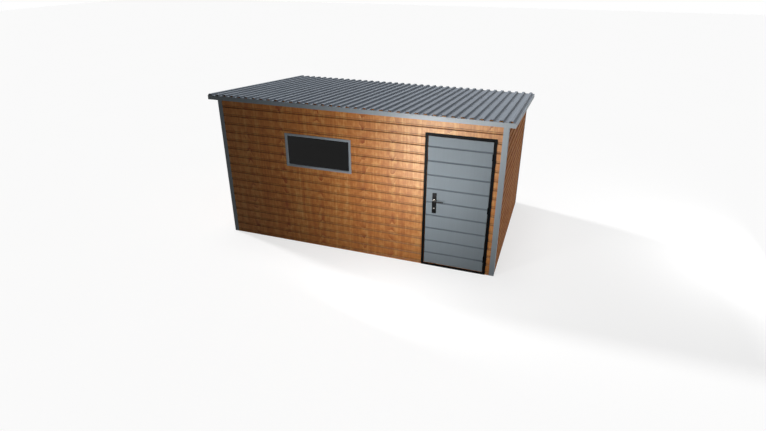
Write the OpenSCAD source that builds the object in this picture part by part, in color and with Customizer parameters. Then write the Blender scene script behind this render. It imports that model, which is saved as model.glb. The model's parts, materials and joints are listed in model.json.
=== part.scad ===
// Steel garden shed: profiled panels on a tube frame, a low pent roof, one door and one fixed window.
// Millimetres, +Z up. The origin is on the ground under the centre of the roof. The front faces -Y.

/* [Walls] */
// Length of the front and back walls, over the panels
wall_length = 4000; // [3000:10:6000]
// Depth of the side walls, over the panels
wall_depth = 2500; // [1800:10:4000]
// Thickness of every steel sheet and flashing
sheet_thickness = 0.7; // [0.4:0.1:1.5]
// Depth that the frame stands back from the face of the panels
panel_depth = 10; // [9:0.5:20]
// Height of one board of the panel profile
board_pitch = 120.15; // [80:0.05:200]
// Height of the lowest groove's lower edge above the ground
first_groove = 26; // [10:1:60]
// Depth of the groove between two boards
groove_depth = 8; // [3:0.5:9]
// Height of the bevel that rises out of the groove's lower edge
groove_lower_bevel = 8; // [2:0.5:15]
// Height of the flat bottom of the groove
groove_flat = 19; // [5:0.5:40]
// Height of the bevel under the next board
groove_upper_bevel = 3; // [1:0.5:15]
// Gap between the ground and the lower edge of panels and corner trims
ground_gap = 2; // [1:0.5:10]
// Width of each leg of the corner trims
corner_leg = 66; // [40:1:120]

/* [Roof] */
// Height from the top of the door frame to the roof sheet's underside at its front edge
wall_over_door = 238; // [180:1:500]
// Fall of the roof towards the back, in degrees
roof_slope = 5.6; // [3:0.1:10]
// Overhang of the roof in front of the front wall
front_overhang = 92; // [60:1:300]
// Overhang of the roof behind the back wall
back_overhang = 140; // [60:1:300]
// Overhang of the roof beside each side wall
side_overhang = 82; // [50:1:300]
// Height of the flashings around the roof
flashing_height = 58; // [40:1:120]
// Width of the fascias' return under the roof sheet
fascia_return = 15; // [8:1:40]
// Width of the verges' return under the roof sheet
verge_return = 30; // [10:1:60]
// Clearance between the roof sheet and what it lies on
roof_seat = 0.3; // [0.1:0.1:1]
// Spacing of the roof sheet's ribs
rib_pitch = 113; // [90:1:250]
// Height of the ribs
rib_height = 20; // [10:1:40]
// Width of a rib at its foot
rib_foot = 60; // [40:1:80]
// Width of a rib at its top
rib_top = 34; // [15:1:38]
// Distance from the sheet's left edge to the middle of its first rib
first_rib = 37; // [31:1:90]

/* [Frame] */
// Side of the square tubes of the frame
tube_size = 40; // [30:1:60]
// Wall of the square tubes
tube_wall = 1.5; // [1:0.1:3]
// Height of the purlins
purlin_height = 30; // [20:1:50]
// Number of purlins under the roof sheet
purlin_count = 4; // [3:1:6]
// Number of studs between the corner posts of the back wall
back_stud_count = 3; // [1:1:5]

/* [Window] */
// Distance from the shed's left side to the window
window_left = 1015; // [300:5:1500]
// Width over the window frame
window_width = 971; // [500:1:1200]
// Height of the window frame's lower edge
window_sill_height = 1203; // [900:1:1300]
// Height over the window frame
window_height = 473; // [300:1:560]
// Width of the window frame's bars
window_bar = 32; // [20:1:50]
// Depth of the window frame, front to back
window_depth = 60; // [50:1:80]
// Distance that the window frame stands out of the wall
window_proud = 10; // [4:1:20]
// Depth from the window frame's face to the glass
glass_recess = 18; // [8:1:30]
// Thickness of the glass unit
glass_thickness = 16; // [4:1:20]
// Depth of the glass in the window frame's groove
glass_bite = 8; // [4:1:15]

/* [Door] */
// Distance from the shed's right side to the door frame
door_right = 118; // [112:1:400]
// Width over the door frame
door_width = 888; // [700:1:1100]
// Height over the door frame
door_height = 1888; // [1700:1:2200]
// Width of the door frame's bars
door_bar = 35; // [25:1:45]
// Depth of the door frame, front to back
door_frame_depth = 50; // [46:1:70]
// Distance that the door frame stands out of the wall
door_proud = 6; // [4:1:20]
// Thickness of the folded steel of the door frame and its liner
door_steel = 1.5; // [1:0.1:3]
// Width of the stop behind the leaf
stop_width = 20; // [12:1:30]
// Gap around the leaf at the hinge side, the head and the sill
door_gap = 5; // [5:0.5:8]
// Gap between the leaf and the liner at the lock side
latch_gap = 6.5; // [6.5:0.5:10]
// Distance that the leaf lies behind the face of its frame
leaf_setback = 2; // [0:0.5:5]
// Thickness of the leaf
leaf_thickness = 38; // [30:1:42]
// Spacing of the leaf's grooves
leaf_pitch = 189; // [120:1:300]
// Distance from the top of the leaf to its first groove
leaf_first_groove = 133; // [60:1:200]
// Height of a groove in the leaf
leaf_groove_height = 18; // [8:1:30]
// Depth of a groove in the leaf
leaf_groove_depth = 5; // [2:0.5:8]

/* [Hinges and lock] */
// Radius of the hinge barrels
barrel_radius = 6; // [5:0.5:9]
// Length of half a hinge barrel
barrel_half = 40; // [25:1:60]
// Radius of the hinge pins
pin_radius = 3; // [2:0.5:4]
// Clearance around the hinge pins and between barrel halves
pin_clearance = 0.3; // [0.3:0.1:0.6]
// Width of the hinge flap on the door frame
flap_width = 30; // [15:1:34]
// Depth of the hinge flap on the leaf's edge
flap_depth = 40; // [20:1:44]
// Thickness of the hinge flaps
flap_thickness = 1.5; // [1:0.1:2]
// Distance from the leaf's top and bottom to the outer hinges
hinge_inset = 190; // [120:5:300]
// Distance from the leaf's lock edge to the lever's shaft
handle_backset = 110; // [60:1:140]
// Height of the lever's shaft
handle_height = 990; // [850:5:1150]
// Distance from the lever's shaft down to the lock cylinder
lock_spacing = 110; // [92:1:130]
// Width of the lock plates
plate_width = 56; // [40:1:70]
// Length of the lock plates
plate_length = 285; // [240:1:320]
// Thickness of the lock plates
plate_thickness = 9; // [4:0.5:12]
// Radius of the lock plates' corners
plate_corner = 6; // [2:0.5:15]
// Distance from the top of the plates to the lever's shaft
plate_above_shaft = 101; // [60:1:130]
// Radius of the lever's shaft
shaft_radius = 8; // [6:0.5:12]
// Clearance around the lever's shaft
shaft_clearance = 0.5; // [0.3:0.1:1]
// Distance from the plate's face to the middle of the lever
lever_standoff = 40; // [36:1:60]
// Radius of the lever
lever_radius = 9; // [7:0.5:12]
// Length of the lever from its shaft
lever_length = 128; // [90:1:150]
// Chamfer at the ends of the lever
lever_chamfer = 2; // [0.5:0.5:4]
// Radius of the lock cylinder
lock_radius = 8.5; // [6:0.5:11]
// Distance that the lock cylinder stands out of its plates
lock_proud = 3; // [1:0.5:6]
// Fit around the lock cylinder
lock_fit = 0.2; // [0.1:0.1:0.5]

/* [Hidden] */

steel_grey = "#7d858b";
wood_look = "#b4763c";
frame_grey = "#9aa0a4";
satin_black = "#191a1b";

// How far a cut runs past the faces it opens.
over = 1;

// Height of the roof sheet's underside at its front edge.
eaves_height = door_height + wall_over_door;

// Plan: half lengths, the four wall faces and the roof's edges.
half_length = wall_length / 2;
half_roof = half_length + side_overhang;
roof_depth = front_overhang + wall_depth + back_overhang;
y_roof_front = -roof_depth / 2;
y_roof_back = roof_depth / 2;
y_front = y_roof_front + front_overhang;
y_back = y_front + wall_depth;
slope_rise = tan(roof_slope);
slope_scale = 1 / cos(roof_slope);

// Height of the roof sheet's underside over a line across the shed.
function under(y) = eaves_height - (y - y_roof_front) * slope_rise;

// Vertical drops below the roof sheet: purlins, then rafters, then the top rails.
drop_purlin = purlin_height * slope_scale;
drop_rafter = drop_purlin + tube_size * slope_scale;
drop_rail = drop_rafter + tube_size * slope_scale;

// The frame's outer and inner lines behind the panels.
x_frame = half_length - panel_depth;
x_frame_in = x_frame - tube_size;
y_frame_front = y_front + panel_depth;
y_frame_front_in = y_frame_front + tube_size;
y_frame_back = y_back - panel_depth;
y_frame_back_in = y_frame_back - tube_size;

// Window and door lines.
x_window_0 = -half_length + window_left;
x_window_1 = x_window_0 + window_width;
z_window_0 = window_sill_height;
z_window_1 = z_window_0 + window_height;
y_window_face = y_front - window_proud;
x_door_1 = half_length - door_right;
x_door_0 = x_door_1 - door_width;
y_door_face = y_front - door_proud;
y_door_back = y_door_face + door_frame_depth;
x_leaf_0 = x_door_0 + door_bar + door_steel + latch_gap;
x_leaf_1 = x_door_1 - door_bar - door_steel - door_gap;
z_leaf_0 = door_bar + door_steel + door_gap;
z_leaf_1 = door_height - door_bar - door_steel - door_gap;
y_leaf_face = y_door_face + leaf_setback;
y_leaf_back = y_leaf_face + leaf_thickness;

// Hinge axis: over the gap beside the leaf, in front of the frame's face.
x_hinge = x_leaf_1 + door_gap / 2;
y_hinge = y_door_face - barrel_radius;
hinge_heights = [z_leaf_0 + hinge_inset, (z_leaf_0 + z_leaf_1) / 2, z_leaf_1 - hinge_inset];

// Lever and lock lines.
x_lever = x_leaf_0 + handle_backset;
z_lock = handle_height - lock_spacing;
y_plate_out = y_leaf_face - plate_thickness;
y_plate_in = y_leaf_back + plate_thickness;

// ---- panel profile: depth from the face, and height ----
groove_height = groove_lower_bevel + groove_flat + groove_upper_bevel;
groove_count = ceil((eaves_height - first_groove) / board_pitch);
panel_top = first_groove + groove_count * board_pitch;

// The panel's line from the ground up, moved inwards by a shift.
function panel_line(shift) = concat(
    [[shift, ground_gap]],
    [for (k = [0 : groove_count - 1], p = [
        [0, 0],
        [groove_depth, groove_lower_bevel],
        [groove_depth, groove_lower_bevel + groove_flat],
        [0, groove_height]])
        [p[0] + shift, p[1] + first_groove + k * board_pitch]],
    [[shift, panel_top]]);

function reversed(list) = [for (i = [len(list) - 1 : -1 : 0]) list[i]];

// The closed section of a panel that is one sheet thick.
function panel_section() = concat(panel_line(0), reversed(panel_line(sheet_thickness)));

// A section turned to face along one axis: start is its face, way is 1 or -1 inwards.
function placed(points, start, way) = [for (p = points) [start + way * p[0], p[1]]];

// Draws a (y, z) section along X.
module along_x(x0, x1) {
    translate([x0, 0, 0]) rotate([90, 0, 90]) linear_extrude(height = x1 - x0) children();
}

// Draws an (x, z) section along Y.
module along_y(y0, y1) {
    translate([0, y1, 0]) rotate([90, 0, 0]) linear_extrude(height = y1 - y0) children();
}

module block(x0, x1, y0, y1, z0, z1) {
    translate([x0, y0, z0]) cube([x1 - x0, y1 - y0, z1 - z0]);
}

// Everything that lies lower than the roof sheet's underside by a vertical drop.
module below_roof(drop) {
    along_x(-half_roof, half_roof) polygon([
        [y_roof_front, 0], [y_roof_back, 0],
        [y_roof_back, under(y_roof_back) - drop], [y_roof_front, under(y_roof_front) - drop]]);
}

// A four-sided (y, z) section that follows the roof between two drops.
module roof_band(y0, y1, drop0, drop1) {
    polygon([[y0, under(y0) - drop1], [y1, under(y1) - drop1],
             [y1, under(y1) - drop0], [y0, under(y0) - drop0]]);
}

// ---- tubes of the frame ----
module tube_along_x(x0, x1, y0, z0) {
    difference() {
        block(x0, x1, y0, y0 + tube_size, z0, z0 + tube_size);
        block(x0 - over, x1 + over, y0 + tube_wall, y0 + tube_size - tube_wall,
              z0 + tube_wall, z0 + tube_size - tube_wall);
    }
}

module tube_along_y(y0, y1, x0, z0) {
    difference() {
        block(x0, x0 + tube_size, y0, y1, z0, z0 + tube_size);
        block(x0 + tube_wall, x0 + tube_size - tube_wall, y0 - over, y1 + over,
              z0 + tube_wall, z0 + tube_size - tube_wall);
    }
}

// An upright tube with its top cut to the fall of the roof.
module upright(x0, y0, z0, drop) {
    intersection() {
        difference() {
            block(x0, x0 + tube_size, y0, y0 + tube_size, z0, eaves_height);
            block(x0 + tube_wall, x0 + tube_size - tube_wall,
                  y0 + tube_wall, y0 + tube_size - tube_wall, z0 - over, eaves_height + over);
        }
        below_roof(drop);
    }
}

// A tube across the shed whose top and bottom follow the roof.
module roof_tube_along_x(x0, x1, y0, drop, height) {
    difference() {
        along_x(x0, x1) roof_band(y0, y0 + tube_size, drop, drop + height * slope_scale);
        along_x(x0 - over, x1 + over) roof_band(y0 + tube_wall, y0 + tube_size - tube_wall,
            drop + tube_wall * slope_scale, drop + (height - tube_wall) * slope_scale);
    }
}

// A rafter: a tube that runs down the roof under the purlins.
module rafter(x0) {
    difference() {
        along_x(x0, x0 + tube_size) roof_band(y_frame_front, y_frame_back, drop_purlin, drop_rafter);
        along_x(x0 + tube_wall, x0 + tube_size - tube_wall)
            roof_band(y_frame_front - over, y_frame_back + over,
                      drop_purlin + tube_wall * slope_scale, drop_rafter - tube_wall * slope_scale);
    }
}

module base_front() {
    color(frame_grey) tube_along_x(-x_frame_in, x_door_0 - tube_size, y_frame_front, 0);
}

module base_back() {
    color(frame_grey) tube_along_x(-x_frame_in, x_frame_in, y_frame_back_in, 0);
}

module base_left() {
    color(frame_grey) tube_along_y(y_frame_front_in, y_frame_back_in, -x_frame, 0);
}

module base_right() {
    color(frame_grey) tube_along_y(y_frame_front_in, y_frame_back_in, x_frame_in, 0);
}

module post_front_left() { color(frame_grey) upright(-x_frame, y_frame_front, 0, drop_rafter); }
module post_front_right() { color(frame_grey) upright(x_frame_in, y_frame_front, 0, drop_rafter); }
module post_back_left() { color(frame_grey) upright(-x_frame, y_frame_back_in, 0, drop_rafter); }
module post_back_right() { color(frame_grey) upright(x_frame_in, y_frame_back_in, 0, drop_rafter); }

module door_posts() {
    color(frame_grey) {
        upright(x_door_0 - tube_size, y_frame_front, 0, drop_rail);
        upright(x_door_1, y_frame_front, 0, drop_rail);
    }
}

module door_head_rail() {
    color(frame_grey) tube_along_x(x_door_0, x_door_1, y_frame_front, door_height);
}

module window_studs() {
    color(frame_grey) {
        upright(x_window_0 - tube_size, y_frame_front, tube_size, drop_rail);
        upright(x_window_1, y_frame_front, tube_size, drop_rail);
    }
}

module window_rails() {
    color(frame_grey) {
        tube_along_x(x_window_0, x_window_1, y_frame_front, z_window_0 - tube_size);
        tube_along_x(x_window_0, x_window_1, y_frame_front, z_window_1);
    }
}

// The studs of the back wall and the one in the middle of each side wall.
module wall_studs() {
    stud_gap = (2 * x_frame_in - back_stud_count * tube_size) / (back_stud_count + 1);
    y_side_stud = (y_frame_front + y_frame_back - tube_size) / 2;
    color(frame_grey) {
        for (i = [0 : back_stud_count - 1])
            upright(-x_frame_in + stud_gap + i * (stud_gap + tube_size), y_frame_back_in,
                    tube_size, drop_rail);
        upright(-x_frame, y_side_stud, tube_size, drop_rafter);
        upright(x_frame_in, y_side_stud, tube_size, drop_rafter);
    }
}

module top_rails() {
    color(frame_grey) {
        roof_tube_along_x(-x_frame_in, x_frame_in, y_frame_front, drop_rafter, tube_size);
        roof_tube_along_x(-x_frame_in, x_frame_in, y_frame_back_in, drop_rafter, tube_size);
    }
}

module rafter_left() { color(frame_grey) rafter(-x_frame); }
module rafter_middle() { color(frame_grey) rafter(-tube_size / 2); }
module rafter_right() { color(frame_grey) rafter(x_frame_in); }

module roof_purlins() {
    step = (y_frame_back_in - y_frame_front) / (purlin_count - 1);
    color(frame_grey)
        for (i = [0 : purlin_count - 1])
            roof_tube_along_x(-x_frame, x_frame, y_frame_front + i * step, 0, purlin_height);
}

// ---- panels ----
// A panel on the front wall between two lines, cut to the fall of the roof.
module front_panel(x0, x1, z0) {
    intersection() {
        along_x(x0, x1) polygon(placed(panel_section(), y_front, 1));
        below_roof(0);
        block(x0, x1, y_front - over, y_frame_front, z0, eaves_height);
    }
}

module side_panel(x_face, way) {
    intersection() {
        along_y(y_frame_front, y_frame_back) polygon(placed(panel_section(), x_face, way));
        below_roof(0);
    }
}

module front_wall_left() {
    color(wood_look) difference() {
        front_panel(-x_frame, x_door_0, 0);
        block(x_window_0, x_window_1, y_front - over, y_frame_front + over, z_window_0, z_window_1);
    }
}

module front_wall_over_door() { color(wood_look) front_panel(x_door_0, x_door_1, door_height); }
module front_wall_right() { color(wood_look) front_panel(x_door_1, x_frame, 0); }

module back_wall() {
    color(wood_look) intersection() {
        along_x(-x_frame, x_frame) polygon(placed(panel_section(), y_back, -1));
        below_roof(0);
    }
}

module left_wall() { color(wood_look) side_panel(-half_length, 1); }
module right_wall() { color(wood_look) side_panel(half_length, -1); }

// An angle around one corner; ways point from the corner along the walls.
module corner_trim(x_face, way_x, y_face, way_y) {
    outer_x = x_face - way_x * sheet_thickness;
    outer_y = y_face - way_y * sheet_thickness;
    end_x = outer_x + way_x * corner_leg;
    end_y = outer_y + way_y * corner_leg;
    color(steel_grey) intersection() {
        translate([0, 0, ground_gap]) linear_extrude(height = eaves_height)
            polygon([[outer_x, outer_y], [end_x, outer_y], [end_x, y_face],
                     [x_face, y_face], [x_face, end_y], [outer_x, end_y]]);
        below_roof(0);
    }
}

module corner_trim_front_left() { corner_trim(-half_length, 1, y_front, 1); }
module corner_trim_front_right() { corner_trim(half_length, -1, y_front, 1); }
module corner_trim_back_left() { corner_trim(-half_length, 1, y_back, -1); }
module corner_trim_back_right() { corner_trim(half_length, -1, y_back, -1); }

// ---- roof ----
// A fascia: an upright leg and a return under the sheet; way points into the roof.
module fascia(y_face, way) {
    y_in = y_face + way * sheet_thickness;
    y_return = y_face + way * fascia_return;
    lower = under(y_face) - flashing_height;
    color(steel_grey) along_x(-half_roof, half_roof) polygon([
        [y_face, lower], [y_in, lower], [y_in, under(y_in) - sheet_thickness],
        [y_return, under(y_return) - sheet_thickness], [y_return, under(y_return)],
        [y_face, under(y_face)]]);
}

module front_fascia() { fascia(y_roof_front, 1); }
module back_flashing() { fascia(y_roof_back, -1); }

// A verge: an upright leg beside the sheet and a return under it.
module verge(x_face, way) {
    y0 = y_roof_front + sheet_thickness;
    y1 = y_roof_back - sheet_thickness;
    y0_return = y_roof_front + fascia_return;
    y1_return = y_roof_back - fascia_return;
    x_in = x_face + way * sheet_thickness;
    x_return = x_face + way * verge_return;
    color(steel_grey) union() {
        along_x(min(x_face, x_in), max(x_face, x_in))
            roof_band(y0, y1, 0, flashing_height);
        along_x(min(x_in, x_return), max(x_in, x_return))
            roof_band(y0_return, y1_return, 0, sheet_thickness);
    }
}

module verge_left() { verge(-half_roof, 1); }
module verge_right() { verge(half_roof, -1); }

// The ribbed line of the roof sheet, from left to right; under side when the shift is set.
x_sheet = half_roof;
rib_count = floor((2 * x_sheet - first_rib - rib_foot / 2) / rib_pitch) + 1;
flank_shift = sheet_thickness * tan(atan(2 * rib_height / (rib_foot - rib_top)) / 2);

function rib_line(shift, drop) = concat(
    [[-x_sheet, -drop]],
    [for (k = [0 : rib_count - 1], p = [
        [-rib_foot / 2 + shift, 0], [-rib_top / 2 + shift, rib_height],
        [rib_top / 2 - shift, rib_height], [rib_foot / 2 - shift, 0]])
        [p[0] - x_sheet + first_rib + k * rib_pitch, p[1] - drop]],
    [[x_sheet, -drop]]);

module roof_sheet() {
    lift = roof_seat + sheet_thickness;
    run = (roof_depth - (lift + rib_height) * sin(roof_slope)) / cos(roof_slope);
    color(steel_grey)
        translate([0, y_roof_front, eaves_height]) rotate([-roof_slope, 0, 0])
        translate([0, 0, lift])
        along_y(0, run)
            polygon(concat(rib_line(0, 0), reversed(rib_line(flank_shift, sheet_thickness))));
}

// ---- window ----
module window_frame() {
    y_glass = y_window_face + glass_recess;
    inner = window_bar - glass_bite;
    color(steel_grey) difference() {
        block(x_window_0, x_window_1, y_window_face, y_window_face + window_depth,
              z_window_0, z_window_1);
        block(x_window_0 + window_bar, x_window_1 - window_bar, y_window_face - over,
              y_window_face + window_depth + over, z_window_0 + window_bar, z_window_1 - window_bar);
        block(x_window_0 + inner, x_window_1 - inner, y_glass, y_glass + glass_thickness,
              z_window_0 + inner, z_window_1 - inner);
    }
}

module window_glass() {
    y_glass = y_window_face + glass_recess;
    inner = window_bar - glass_bite;
    color("#22262a") block(x_window_0 + inner, x_window_1 - inner, y_glass,
        y_glass + glass_thickness, z_window_0 + inner, z_window_1 - inner);
}

// ---- door ----
// The black frame: a folded channel around the doorway, open at its back.
module door_frame() {
    far = door_bar - door_steel;
    color(satin_black) difference() {
        block(x_door_0, x_door_1, y_door_face, y_door_back, 0, door_height);
        block(x_door_0 + door_bar, x_door_1 - door_bar, y_door_face - over, y_door_back + over,
              door_bar, door_height - door_bar);
        difference() {
            block(x_door_0 + door_steel, x_door_1 - door_steel, y_door_face + door_steel,
                  y_door_back + over, door_steel, door_height - door_steel);
            block(x_door_0 + far, x_door_1 - far, y_door_face, y_door_back + over + over,
                  far, door_height - far);
        }
    }
}

// The liner in the frame, with the stop behind the leaf.
module door_liner() {
    x0 = x_door_0 + door_bar;
    x1 = x_door_1 - door_bar;
    z0 = door_bar;
    z1 = door_height - door_bar;
    inner = door_steel + stop_width;
    y_stop = y_door_back - door_steel;
    color(wood_look) difference() {
        block(x0, x1, y_door_face + door_steel, y_door_back, z0, z1);
        block(x0 + door_steel, x1 - door_steel, y_door_face, y_stop, z0 + door_steel, z1 - door_steel);
        block(x0 + inner, x1 - inner, y_door_face, y_door_back + over, z0 + inner, z1 - inner);
    }
}

leaf_groove_count = floor((z_leaf_1 - z_leaf_0 - leaf_first_groove - leaf_groove_height)
                          / leaf_pitch) + 1;
leaf_groove_flat = leaf_groove_height / 4;

// The leaf's front line from the bottom up, moved inwards by a shift.
function leaf_line(shift, z0, z1) = concat(
    [[shift, z0]],
    [for (k = [leaf_groove_count - 1 : -1 : 0], p = [
        [0, -leaf_groove_height / 2], [leaf_groove_depth, -leaf_groove_flat],
        [leaf_groove_depth, leaf_groove_flat], [0, leaf_groove_height / 2]])
        [p[0] + shift, p[1] + z_leaf_1 - leaf_first_groove - k * leaf_pitch]],
    [[shift, z1]]);

// A round hole or rod through the leaf, from y0 to y1.
module through(x, z, r, y0, y1) {
    translate([x, y1, z]) rotate([90, 0, 0]) cylinder(r = r, h = y1 - y0, $fn = 48);
}

module lock_bores(y0, y1) {
    through(x_lever, handle_height, shaft_radius + shaft_clearance, y0, y1);
    through(x_lever, z_lock, lock_radius + lock_fit, y0, y1);
}

// The grooved outer skin of the leaf with its folded edges, open at the back.
module door_leaf() {
    depth = leaf_thickness - sheet_thickness;
    t = sheet_thickness;
    color(steel_grey) difference() {
        along_x(x_leaf_0, x_leaf_1) polygon(placed(concat(
            leaf_line(0, z_leaf_0, z_leaf_1), [[depth, z_leaf_1], [depth, z_leaf_0]]),
            y_leaf_face, 1));
        along_x(x_leaf_0 + t, x_leaf_1 - t) polygon(placed(concat(
            leaf_line(t, z_leaf_0 + t, z_leaf_1 - t),
            [[depth + over, z_leaf_1 - t], [depth + over, z_leaf_0 + t]]),
            y_leaf_face, 1));
        lock_bores(y_leaf_face - over, y_leaf_back + over);
    }
}

// The inner skin of the leaf.
module door_lining() {
    color(wood_look) difference() {
        block(x_leaf_0, x_leaf_1, y_leaf_back - sheet_thickness, y_leaf_back, z_leaf_0, z_leaf_1);
        lock_bores(y_leaf_face - over, y_leaf_back + over);
    }
}

// The lower barrels with their pins, and the flaps on the frame's face.
module hinge_fixed() {
    color(satin_black) for (z = hinge_heights) union() {
        translate([x_hinge, y_hinge, z - barrel_half])
            cylinder(r = barrel_radius, h = barrel_half, $fn = 48);
        translate([x_hinge, y_hinge, z])
            cylinder(r = pin_radius, h = barrel_half, $fn = 48);
        block(x_hinge, x_hinge + flap_width, y_door_face - flap_thickness, y_door_face,
              z - barrel_half, z);
    }
}

// The upper barrels, and the flaps on the leaf's edge.
module hinge_moving() {
    z_gap = pin_clearance;
    color(satin_black) for (z = hinge_heights) difference() {
        union() {
            translate([x_hinge, y_hinge, z + z_gap])
                cylinder(r = barrel_radius, h = barrel_half - z_gap, $fn = 48);
            block(x_leaf_1, x_leaf_1 + flap_thickness, y_hinge, y_leaf_face + flap_depth - leaf_setback
                  - flap_thickness, z + z_gap, z + barrel_half);
        }
        translate([x_hinge, y_hinge, z])
            cylinder(r = pin_radius + pin_clearance, h = barrel_half + over, $fn = 48);
    }
}

// A plate with round corners between two lines across the leaf.
module lock_plate(y0, y1) {
    x0 = x_lever - plate_width / 2;
    x1 = x_lever + plate_width / 2;
    z1 = handle_height + plate_above_shaft;
    z0 = z1 - plate_length;
    c = plate_corner;
    difference() {
        union() {
            block(x0 + c, x1 - c, y0, y1, z0, z1);
            block(x0, x1, y0, y1, z0 + c, z1 - c);
            for (x = [x0 + c, x1 - c], z = [z0 + c, z1 - c]) through(x, z, c, y0, y1);
        }
        lock_bores(y0 - over, y1 + over);
    }
}

module handle_plates() {
    color(satin_black) {
        lock_plate(y_plate_out, y_leaf_face);
        lock_plate(y_leaf_back, y_plate_in);
    }
}

module lock_cylinder() {
    color("#8f9498")
        through(x_lever, z_lock, lock_radius, y_plate_out - lock_proud, y_plate_in + lock_proud);
}

// The outer and inner levers on one shaft: round bars with chamfered ends.
module lever_handle() {
    y_out = y_plate_out - lever_standoff;
    y_in = y_plate_in + lever_standoff;
    r = lever_radius;
    c = lever_chamfer;
    length = lever_length + r;
    color(satin_black) union() {
        through(x_lever, handle_height, shaft_radius, y_out, y_in);
        for (y = [y_out, y_in])
            translate([x_lever - r, y, handle_height]) rotate([0, 90, 0]) rotate_extrude($fn = 48)
                polygon([[0, 0], [r - c, 0], [r, c], [r, length - c], [r - c, length], [0, length]]);
    }
}

base_front();
base_back();
base_left();
base_right();
post_front_left();
post_front_right();
post_back_left();
post_back_right();
door_posts();
door_head_rail();
window_studs();
window_rails();
wall_studs();
top_rails();
rafter_left();
rafter_middle();
rafter_right();
roof_purlins();
front_wall_left();
front_wall_over_door();
front_wall_right();
back_wall();
left_wall();
right_wall();
corner_trim_front_left();
corner_trim_front_right();
corner_trim_back_left();
corner_trim_back_right();
front_fascia();
back_flashing();
verge_left();
verge_right();
roof_sheet();
window_frame();
window_glass();
door_frame();
door_liner();
hinge_fixed();
door_leaf();
door_lining();
hinge_moving();
handle_plates();
lock_cylinder();
lever_handle();
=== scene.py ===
"""Dresses the steel garden shed: wood-print wall panels, coated flashings and roof, door, window and locks.

Metres, +Z up, the front faces -Y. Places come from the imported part's own boxes; the fold, groove and rib
sizes that a box can't tell are named below.
"""
import json
import math

import bpy
import numpy as np
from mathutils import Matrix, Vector


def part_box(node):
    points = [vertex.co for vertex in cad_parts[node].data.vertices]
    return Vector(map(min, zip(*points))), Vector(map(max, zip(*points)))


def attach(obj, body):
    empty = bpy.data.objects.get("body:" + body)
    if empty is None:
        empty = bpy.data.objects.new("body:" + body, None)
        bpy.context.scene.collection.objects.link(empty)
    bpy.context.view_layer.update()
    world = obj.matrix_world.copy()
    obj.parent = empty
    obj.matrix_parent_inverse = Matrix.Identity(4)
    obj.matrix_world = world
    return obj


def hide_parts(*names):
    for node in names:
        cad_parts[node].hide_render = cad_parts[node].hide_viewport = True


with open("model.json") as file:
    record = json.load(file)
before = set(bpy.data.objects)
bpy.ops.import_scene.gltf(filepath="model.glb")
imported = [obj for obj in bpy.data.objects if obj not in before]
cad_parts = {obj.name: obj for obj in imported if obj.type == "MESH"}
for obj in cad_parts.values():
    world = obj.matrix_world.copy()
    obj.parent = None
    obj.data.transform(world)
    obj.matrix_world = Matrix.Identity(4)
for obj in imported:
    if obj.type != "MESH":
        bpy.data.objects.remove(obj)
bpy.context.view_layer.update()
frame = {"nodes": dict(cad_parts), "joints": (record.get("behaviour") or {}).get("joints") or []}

MM = 0.001
INSIDE = (0, 0, 1)

# Sheet steel and the board profile of the walls.
SHEET = 0.7 * MM
BOARD_PITCH = 120.15 * MM
FIRST_GROOVE = 26 * MM
GROOVE_DEPTH = 8 * MM
LOWER_BEVEL = 8 * MM
GROOVE_FLAT = 19 * MM
UPPER_BEVEL = 3 * MM
BEND = 2.2 * MM

# Height above a groove's foot and the share of painted shade there, dark where the groove's shade falls: thick on
# the lower bevel and under the next board's edge, thin on the flat, none on the boards. The fourth and the eighth
# lie on the sheet's own folds.
SHADE_PLACES = np.array([-7, -3, 4, 8, 12, 21, 24, 30, 34]) * MM
SHADE_SHARES = [0, 0.9, 0.85, 0.6, 0.25, 0.3, 1, 0.95, 0]
SHADE_ROWS = np.delete(SHADE_PLACES, [3, 7])

# The printed grain: the width of a plank, and the arched figure in its middle.
PLANK = 0.53
FIGURE_HALF = 45 * MM
ARCH_STEEPNESS = 1.7
ARCH_TIP = 10 * MM
ARCH_STEP = 200 * MM

# Roof and its flashings.
ROOF_FALL = math.radians(5.6)
ROOF_SEAT = 0.3 * MM
RIB_PITCH = 113 * MM
FIRST_RIB = 37 * MM
RIB_FOOT = 60 * MM
RIB_TOP = 34 * MM
RIB_HEIGHT = 20 * MM
RIB_BEND = 3 * MM
FLASHING_DROP = 58 * MM
FASCIA_RETURN = 15 * MM
VERGE_RETURN = 30 * MM
HEM = 9 * MM
HEM_GAP = 1.9 * MM
FOLD = 0.9 * MM
CORNER_LEG = 66 * MM
CORNER_BEND = 2.5 * MM

# Fasteners; a head's profile is (radius, height), and rivets sit at a share of the board pitch.
PURLINS = 4
PURLIN_HALF = 20 * MM
WASHER = np.array([(7.5, -0.3), (7.5, 0.9), (7.0, 1.4)]) * MM
SCREW_HEAD = np.array([(6.2, 1.3), (5.8, 2.0), (4.7, 2.1), (4.7, 5.6), (4.2, 6.1)]) * MM
RIVET = np.array([(3.2, -0.2), (3.2, 0.2), (2.6, 0.8), (1.4, 1.15)]) * MM
RIVET_INSET = 14 * MM
BOARD_MIDDLE = 0.6

# Window. Its profile (inset, depth) has a joint line beside the sloped bead and a groove that holds the glass.
WINDOW_PROFILE = np.array([(0, 0), (19.5, 0), (20, 1.6), (21, 1.6), (21.5, 0), (30.5, 2.5), (32, 5), (32, 18),
                           (24, 18), (24, 34), (32, 34), (32, 60), (0, 60)]) * MM
GASKET = np.array([(31.5, 15.5), (35, 17), (35, 18), (31.5, 18)]) * MM
WINDOW_BAR = 32 * MM
GLASS_BITE = 8 * MM
GLASS_RECESS = 18 * MM
PANE = 4 * MM
SPACER_WIDTH = 12 * MM

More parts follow.
